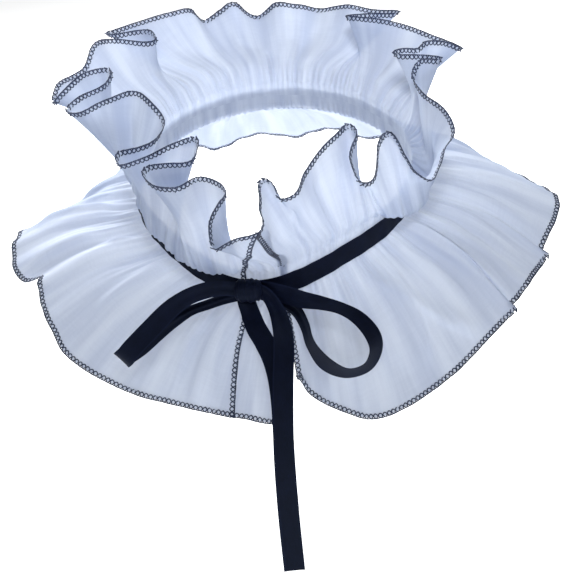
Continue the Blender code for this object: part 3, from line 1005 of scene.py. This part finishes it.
class Finish:
    """A material in the making."""

    def __init__(self, name):
        self.material = bpy.data.materials.new(name)
        self.material.use_nodes = True
        self.tree = self.material.node_tree
        self.tree.nodes.clear()

    def node(self, kind, settings=None, output=0, **values):
        """Any node: its settings first, then its sockets by name; the asked output."""
        made = self.tree.nodes.new(kind)
        for key, value in (settings or {}).items():
            setattr(made, key, value)
        for key, value in values.items():
            feed(self.tree, made.inputs[key.replace("_", " ")], value)
        return Flow(self.tree, made.outputs[output])

    def mix(self, amount, one, two):
        """A colour between two."""
        made = self.tree.nodes.new("ShaderNodeMix")
        made.data_type = "RGBA"
        feed(self.tree, made.inputs["Factor"], amount)
        for place, value in ((6, one), (7, two)):
            feed(self.tree, made.inputs[place], value if isinstance(value, Flow) else (*value, 1.0))
        return Flow(self.tree, made.outputs[2])

    def cloth_place(self):
        """Lengths over the cloth in metres: along the strip and across it."""
        uv = self.node("ShaderNodeUVMap", {"uv_map": "cloth"})
        parts = self.tree.nodes.new("ShaderNodeSeparateXYZ")
        feed(self.tree, parts.inputs[0], uv)
        return uv, Flow(self.tree, parts.outputs[0]), Flow(self.tree, parts.outputs[1])

    def noise(self, vector, scale, detail=2.0, roughness=0.5):
        return self.node(
            "ShaderNodeTexNoise", Vector=vector, Scale=scale, Detail=detail, Roughness=roughness
        )

    def bump(self, height, strength, distance):
        return self.node("ShaderNodeBump", Height=height, Strength=strength, Distance=distance)

    def done(self, shader):
        out = self.tree.nodes.new("ShaderNodeOutputMaterial")
        self.tree.links.new(shader.socket, out.inputs[0])
        return self.material


def organza_finish():
    """Crisp sheer organza, blue-white: fine even weave with uneven threads, painted fold shade in
    soft streaks from the ribbon to the free edge, soft sheen, and light that comes through it."""
    f = Finish("sheer organza")
    uv, along, across = f.cloth_place()
    warp = (along * (2 * pi / WEAVE_PITCH)).wave()
    weft = (across * (2 * pi / WEAVE_PITCH)).wave()
    stretched = f.node("ShaderNodeMapping", Vector=uv, Scale=(900.0, 40.0, 1.0))
    threads_up = f.noise(stretched, 1.0, 2.0)
    stretched = f.node("ShaderNodeMapping", Vector=uv, Scale=(40.0, 900.0, 1.0))
    threads_over = f.noise(stretched, 1.0, 2.0)
    # painted fold shade: noise stretched into soft streaks from the ribbon to the free edge, darker and
    # lighter as folds would be lit
    stretched = f.node("ShaderNodeMapping", Vector=uv, Scale=(75.0, 11.0, 1.0))
    shade_streaks_and_mottle = f.noise(stretched, 1.0, 3.0)
    thick = 0.5 * threads_up + 0.5 * threads_over
    # the colour is mostly painted fold shade from the streaks, a little the threads' own unevenness
    shade = (0.85 * shade_streaks_and_mottle + 0.15 * thick).between(0.30, 0.70)
    colour = f.mix(shade, ORGANZA_PAINTED_SHADE, ORGANZA_LIGHT)
    height = 0.35 * warp * weft + 0.5 * threads_up + 0.5 * threads_over
    weave = f.bump(height, 0.22, 0.00012)
    rough = 0.50 + 0.14 * thick
    opened = (0.5 + 0.5 * warp * weft) * 0.08
    alpha = (ORGANZA_COVER + 0.05 * (thick - 0.5) - opened + 0.04).kept()
    surface = f.node(
        "ShaderNodeBsdfPrincipled",
        Base_Color=colour,
        Roughness=rough,
        Alpha=alpha,
        Normal=weave,
        Sheen_Weight=0.35,
        Sheen_Roughness=0.35,
        Sheen_Tint=(0.85, 0.92, 1.0, 1.0),
        Specular_IOR_Level=0.35,
    )
    through = f.node("ShaderNodeBsdfTranslucent", Color=colour, Normal=weave)
    mixed = f.tree.nodes.new("ShaderNodeMixShader")
    mixed.inputs[0].default_value = ORGANZA_THROUGH
    f.tree.links.new(surface.socket, mixed.inputs[1])
    f.tree.links.new(through.socket, mixed.inputs[2])
    return f.done(Flow(f.tree, mixed.outputs[0]))


def satin_finish():
    """Navy satin ribbon: floats along the ribbon, a firmer edge, a broken soft gloss."""
    f = Finish("navy satin ribbon")
    uv, along, across = f.cloth_place()
    floats = f.noise(f.node("ShaderNodeMapping", Vector=uv, Scale=(350.0, 5200.0, 1.0)), 1.0, 3.0)
    slubs = f.noise(f.node("ShaderNodeMapping", Vector=uv, Scale=(2600.0, 300.0, 1.0)), 1.0, 2.0)
    shade_streaks_and_mottle = f.noise(uv, 120.0, 3.0)
    from_middle = (across - RIBBON_WIDTH / 2).size()
    edge = from_middle.between(RIBBON_WIDTH / 2 - 0.9 * MM, RIBBON_WIDTH / 2 - 0.5 * MM)
    shade = (0.6 * floats + 0.4 * shade_streaks_and_mottle).between(0.3, 0.7)
    colour = f.mix(shade, SATIN_DARK, SATIN_LIGHT)
    colour = f.mix(0.55 * edge, colour, SATIN_EDGE)
    height = 0.6 * floats + 0.5 * slubs + 0.8 * edge
    weave = f.bump(height, 0.30, 0.00010)
    rough = 0.48 + 0.16 * floats + 0.12 * edge
    return f.done(
        f.node(
            "ShaderNodeBsdfPrincipled",
            Base_Color=colour,
            Roughness=rough,
            Normal=weave,
            Sheen_Weight=0.07,
            Sheen_Roughness=0.4,
            Sheen_Tint=(0.25, 0.36, 0.70, 1.0),
            Specular_Tint=(0.55, 0.72, 1.0, 1.0),
            Specular_IOR_Level=0.17,
        )
    )


def thread_finish():
    """Dark slate-navy polyester thread, softly fuzzy, here and there worn paler."""
    f = Finish("overlock thread")
    place = f.node("ShaderNodeTexCoord", output=3)
    twist = f.noise(place, 2600.0, 2.0)
    patches = f.noise(place, 160.0, 3.0)
    colour = f.mix((0.6 * twist + 0.4 * patches).between(0.32, 0.66), THREAD_DARK, THREAD_LIGHT)
    weave = f.bump(twist, 0.35, 0.00010)
    return f.done(
        f.node(
            "ShaderNodeBsdfPrincipled",
            Base_Color=colour,
            Roughness=0.62 + 0.18 * twist,
            Normal=weave,
            Sheen_Weight=0.25,
            Sheen_Roughness=0.5,
            Specular_IOR_Level=0.3,
        )
    )


def knot_middle():
    return neckline(BOW_BEARING) + outward(BOW_BEARING) * KNOT_FORWARD * MM


def ribbon_across(count):
    return np.linspace(-0.5, 0.5, count + 1)


def neck_ribbon_grid():
    """The ribbon round the neck, slightly cupped, lifted here and there by the gathers."""
    clearance = CLOTH_WALL / 2 + SEAM_GAP + RIBBON_WALL / 2
    first, last = BOW_BEARING + RIBBON_START, BOW_BEARING + 360 - RIBBON_START
    bearings = np.linspace(first, last, RIBBON_COLUMNS + 1)
    grid = []
    for bearing in bearings:
        turn = radians(bearing)
        middle = neckline(bearing) + outward(bearing) * clearance
        middle = middle + UP * (RIBBON_TOP - RIBBON_WIDTH / 2)
        lift = RIBBON_LIFT[0] * sin(RIBBON_LIFT[1] * turn + 1.3 * sin(5 * turn))
        lift += RIBBON_LIFT_SMALL[0] * sin(RIBBON_LIFT_SMALL[1] * turn + 2.0)
        row = []
        for share in ribbon_across(RIBBON_STEPS):
            cup = RIBBON_CUP * (1 - (2 * share) ** 2) + lift * (0.4 + abs(share))
            wander = RIBBON_WANDER[0] * sin(RIBBON_WANDER[1] * turn + 3 * share) * share
            row.append(middle - UP * (RIBBON_WIDTH * share - wander * MM) + outward(bearing) * cup * MM)
        grid.append(row)
    return np.array(grid)


def ways_across(run):
    """The direction across a ribbon that faces the front, evened out where it doubles back."""
    forward = np.array([0.0, -1.0, 0.0])
    across = []
    for ahead in run:
        side = np.cross(ahead, forward)
        if across and np.dot(side, across[-1]) < 0:
            side = -side
        across.append(side)
    window = np.hanning(TURN_SPREAD + 2)[1:-1]
    padded = np.pad(np.array(across), ((TURN_SPREAD // 2, TURN_SPREAD // 2), (0, 0)), mode="edge")
    even = np.stack([np.convolve(column, window, "valid") for column in padded.T], axis=1)
    return even / np.linalg.norm(even, axis=1, keepdims=True)


def band_grid(stations):
    """A length of ribbon through its stations, with lengthwise folds where it is drawn in."""
    rows = smooth_curve(
        [(x * MM, -forward * MM, up * MM, turn, width) for x, up, forward, turn, width in stations],
        BAND_COLUMNS + 1,
    )
    path = rows[:, :3] + knot_middle()
    run = np.gradient(path, axis=0)
    run /= np.linalg.norm(run, axis=1, keepdims=True)
    grid = []
    turns, widths = np.radians(rows[:, 3]), rows[:, 4]
    for point, ahead, side, turn, width in zip(path, run, ways_across(run), turns, widths):
        face = np.cross(side, ahead)
        across = side * cos(turn) + face * sin(turn)
        face = np.cross(ahead, across)
        drawn = (1 - width) * BAND_FOLD * MM
        row = []
        for share in ribbon_across(RIBBON_STEPS):
            fold = drawn * cos(2 * pi * BAND_FOLDS * share)
            fold += BAND_CUP * MM * (1 - (2 * share) ** 2)
            row.append(point + across * RIBBON_WIDTH * width * share + face * fold)
        grid.append(row)
    return np.array(grid)


def knot_grid():
    """The wrapped knot: ribbon wound over itself from top to bottom, drawn in at its sides."""
    wide, deep, high = (size * MM / 2 for size in WRAP_SIZE)
    grid = []
    for i in range(KNOT_RINGS + 1):
        v = -1 + 2 * i / KNOT_RINGS
        fill = (1 - abs(v) ** 5) ** 0.45 if abs(v) < 1 else 0.0
        fill = max(fill, KNOT_END)
        ring = []
        for j in range(KNOT_AROUND):
            a = 2 * pi * j / KNOT_AROUND
            pleats = KNOT_PLEATS[0] * sin(KNOT_PLEATS[1] * v + 0.5 * sin(2 * a))
            pleats += KNOT_PLEATS_SMALL[0] * sin(KNOT_PLEATS_SMALL[1] * v + a)
            lap = KNOT_LAP * smooth_step(np.array((a / (2 * pi) - 0.55) * 14 + 2.2 * v))
            size = fill * (KNOT_BODY + pleats + float(lap) * (1 - abs(v)))
            round_y = np.sign(cos(a)) * abs(cos(a)) ** KNOT_ROUNDNESS
            round_z = np.sign(sin(a)) * abs(sin(a)) ** KNOT_ROUNDNESS
            along = v * wide * (1 - 0.05 * abs(sin(a)))
            ring.append((along, -deep * size * round_y, high * size * round_z))
        grid.append(ring)
    points = np.array(grid).reshape(-1, 3)
    turn = -radians(BOW_BEARING)
    x = points[:, 0] * cos(turn) - points[:, 1] * sin(turn)
    y = points[:, 0] * sin(turn) + points[:, 1] * cos(turn)
    turned = np.stack([x, y, points[:, 2]], axis=1)
    return turned.reshape(KNOT_RINGS + 1, KNOT_AROUND, 3) + knot_middle()


def knot_object(look):
    """The knot as a closed mesh, its UV the lengths of the ribbon wound round it."""
    grid = knot_grid()
    rings, around = grid.shape[:2]
    faces = []
    for i in range(rings - 1):
        for j in range(around):
            k = (j + 1) % around
            faces.append((i * around + j, i * around + k, (i + 1) * around + k, (i + 1) * around + j))
    faces.append(tuple(reversed(range(around))))
    faces.append(tuple((rings - 1) * around + j for j in range(around)))
    mesh = bpy.data.meshes.new("wrapped_knot")
    mesh.from_pydata(grid.reshape(-1, 3).tolist(), [], faces)
    layer = mesh.uv_layers.new(name="cloth")
    uv = np.zeros((len(mesh.loops), 2))
    ends = np.array([loop.vertex_index for loop in mesh.loops])
    uv[:, 0] = (ends % around) / around * KNOT_CLOTH
    uv[:, 1] = (ends // around) / rings * RIBBON_WIDTH
    layer.data.foreach_set("uv", uv.ravel())
    mesh.materials.append(look)
    mesh.shade_smooth()
    mesh.update()
    face_outward(mesh)
    made = bpy.data.objects.new("wrapped_knot", mesh)
    bpy.context.collection.objects.link(made)
    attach(made, "root")
    return made


def face_outward(mesh):
    shape = bmesh.new()
    shape.from_mesh(mesh)
    bmesh.ops.recalc_face_normals(shape, faces=shape.faces)
    shape.to_mesh(mesh)
    shape.free()


def cut_length(grid):
    """The flat length of a stretch of ribbon."""
    return lengths_along(grid[:, grid.shape[1] // 2])[-1]


def soft_light(name, place, aim, size, power, colour, spread):
    lamp = bpy.data.lights.new(name, "AREA")
    lamp.shape = "DISK"
    lamp.size = size
    lamp.energy = power
    lamp.color = colour
    lamp.spread = radians(spread)
    made = bpy.data.objects.new(name, lamp)
    made.location = place
    made.rotation_euler = (Vector(aim) - Vector(place)).to_track_quat("-Z", "Y").to_euler()
    bpy.context.collection.objects.link(made)


def pale_floor():
    f = Finish("pale floor")
    grain = f.noise(f.node("ShaderNodeTexCoord", output=3), 30.0, 2.0)
    look = f.done(
        f.node(
            "ShaderNodeBsdfPrincipled",
            Base_Color=f.mix(grain, (0.93, 0.94, 0.95), (0.96, 0.97, 0.98)),
            Roughness=0.9,
            Emission_Color=(1.0, 1.0, 1.0, 1.0),
            Emission_Strength=FLOOR_GLOW,
        )
    )
    far = FLOOR_HALF
    corners = [(x, y, FLOOR_HEIGHT) for x, y in ((-far, -far), (far, -far), (far, far), (-far, far))]
    mesh = bpy.data.meshes.new("floor")
    mesh.from_pydata(corners, [], [(0, 1, 2, 3)])
    mesh.materials.append(look)
    floor = bpy.data.objects.new("floor", mesh)
    bpy.context.collection.objects.link(floor)


def photo_camera():
    """The camera of the photograph, level with the ring's sides, raised and rolled."""
    level = radians(CAMERA_ELEVATION)
    back = Vector((0.0, -cos(level), sin(level)))
    over = Vector((0.0, sin(level), cos(level)))
    right = Vector((1.0, 0.0, 0.0))
    roll = radians(CAMERA_ROLL)
    x = right * cos(roll) - over * sin(roll)
    y = right * sin(roll) + over * cos(roll)
    lens = bpy.data.cameras.new("camera")
    lens.sensor_width = 36.0
    lens.lens = CAMERA_LENS
    camera = bpy.data.objects.new("camera", lens)
    place = Vector((0.0, 0.0, CAMERA_AIM_HEIGHT)) + back * CAMERA_DISTANCE
    turn = Matrix((x, y, back)).transposed().to_4x4()
    camera.matrix_world = Matrix.Translation(place) @ turn
    bpy.context.collection.objects.link(camera)
    bpy.context.scene.camera = camera


def studio():
    """Pale floor, soft light, and the camera of the photograph."""
    pale_floor()
    world = bpy.data.worlds.new("studio")
    world.use_nodes = True
    sky = world.node_tree.nodes["Background"].inputs
    sky[0].default_value = (*SKY, 1.0)
    sky[1].default_value = SKY_STRENGTH
    bpy.context.scene.world = world
    bpy.context.scene.view_settings.view_transform = "Standard"
    for light in LIGHTS:
        soft_light(*light)
    photo_camera()


def end_seam(grid, column, inside):
    """A short end of the strip, with the direction back into the cloth."""
    end = grid[column, PRESSED_ROWS:]
    return end, grid[inside, PRESSED_ROWS:] - end


def edge_seam(grid):
    return grid[:, -1], grid[:, -3] - grid[:, -1]


def sewn_seams(upper, upper_shares, lower, lower_shares):
    """The overlock seams of the strip, all from one stitch and one tree of nodes."""
    stitch = bpy.data.objects.new("overlock_stitch", stitch_mesh())
    bpy.context.collection.objects.link(stitch)
    tree, sockets = stitch_tree()
    thread = thread_finish()
    ends = [end_seam(grid, *end) for end in ((-1, -3), (0, 2)) for grid in (upper, lower)]
    inner = [
        seam_on_sheet(upper, upper_shares, INNER_SEAM_UPPER),
        seam_on_sheet(lower, lower_shares, INNER_SEAM_LOWER),
    ]
    seams = (
        ("top_edge_seam", [edge_seam(upper)]),
        ("hem_seam", [edge_seam(lower)]),
        ("end_seams", ends),
        ("inner_seam", inner),
    )
    pieces = []
    for place, (name, paths) in enumerate(seams):
        pieces.append(seam_object(name, paths, stitch, tree, sockets, thread, THREAD_SEED + place))
    bpy.data.objects.remove(stitch, do_unlink=True)
    return pieces


def bow_bands(satin):
    """The loops and tails, each with its flat length."""
    bands = []
    for name, stations, node in (
        ("left_loop_satin", LEFT_LOOP, "bow_loop_left"),
        ("right_loop_satin", RIGHT_LOOP, "bow_loop_right"),
        ("front_tail_satin", FRONT_TAIL, "bow_tail_front"),
        ("back_tail_satin", BACK_TAIL, "bow_tail_back"),
    ):
        grid = band_grid(stations)
        piece = sheet_object(name, grid, satin)
        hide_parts(node)
        bands.append((piece, cut_length(grid)))
    return bands


def main():
    organza = organza_finish()
    satin = satin_finish()

    upper, upper_shares = upper_cloth()
    lower, lower_shares = lower_cloth()
    upper_piece = sheet_object("upper_ruffle_cloth", upper, organza)
    lower_piece = sheet_object("lower_ruffle_cloth", lower, organza)
    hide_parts("upper_ruffle")
    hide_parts("lower_ruffle")
    top_seam, hem_seam, end_seams, inner_seam = sewn_seams(upper, upper_shares, lower, lower_shares)

    neck = neck_ribbon_grid()
    ribbon_piece = sheet_object("neck_ribbon_satin", neck, satin)
    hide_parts("neck_ribbon")
    knot = knot_object(satin)
    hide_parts("bow_knot")
    bands = bow_bands(satin)

    studio()


main()
